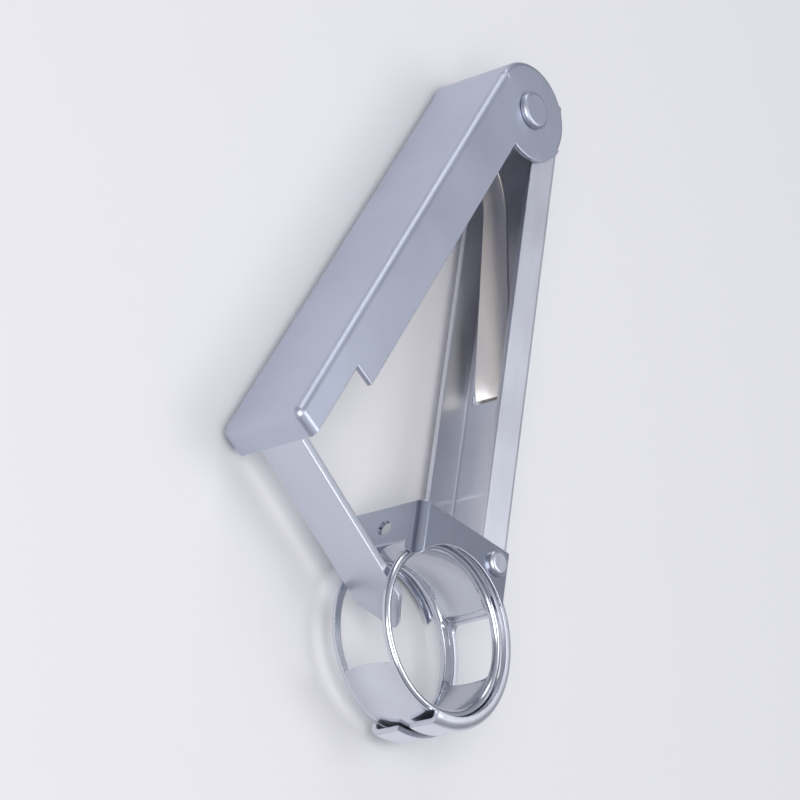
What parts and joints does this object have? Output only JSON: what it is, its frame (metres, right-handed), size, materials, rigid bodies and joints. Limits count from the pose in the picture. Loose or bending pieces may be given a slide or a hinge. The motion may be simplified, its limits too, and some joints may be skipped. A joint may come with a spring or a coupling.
{
  "type": "cherry pitter",
  "caption": "Hand-held cherry pitter of folded sheet metal: a channel body with a round side-open cup, and a sprung lever whose pointed plunger pushes the stone out.",
  "frame": {"origin": "centre of the bounding box at its lowest face, the tool lying on its side", "axes": "+X from the cup end to the hinge end, +Y the way the lever opens, +Z across the width, along the hinge axis"},
  "size_m": [0.125, 0.0592, 0.0188],
  "materials": {
    "satin_aluminium": "satin, lightly brushed along the length",
    "bright_cup": "bright, with polished rims",
    "bright_bracket": "bright satin",
    "plunger_steel": "brushed",
    "spring_steel": "warm grey spring steel",
    "rivet_steel": "formed heads, turned marks"
  },
  "bodies": {
    "body": {"body_channel": "satin_aluminium", "cherry_cup": "bright_cup", "stripper_bracket": "bright_bracket", "cheek_rivet_high": "rivet_steel", "cheek_rivet_low": "rivet_steel", "hinge_pin": "rivet_steel", "spacer_sleeve": "rivet_steel", "leaf_spring": "spring_steel"},
    "lever_arm": {"lever": "satin_aluminium", "plunger_arm": "plunger_steel", "plunger_rivet_near": "rivet_steel", "plunger_rivet_far": "rivet_steel"}
  },
  "joints": [
    {"name": "lever_hinge", "type": "hinge", "parent": "body", "child": "lever_arm", "pos_m": [0.0535, -0.01507, 0.0094], "axis": [0, 0, 1], "range_deg": [0, 16], "stiffness_Nm_per_rad": 2, "deforming": ["leaf_spring"]}
  ]
}
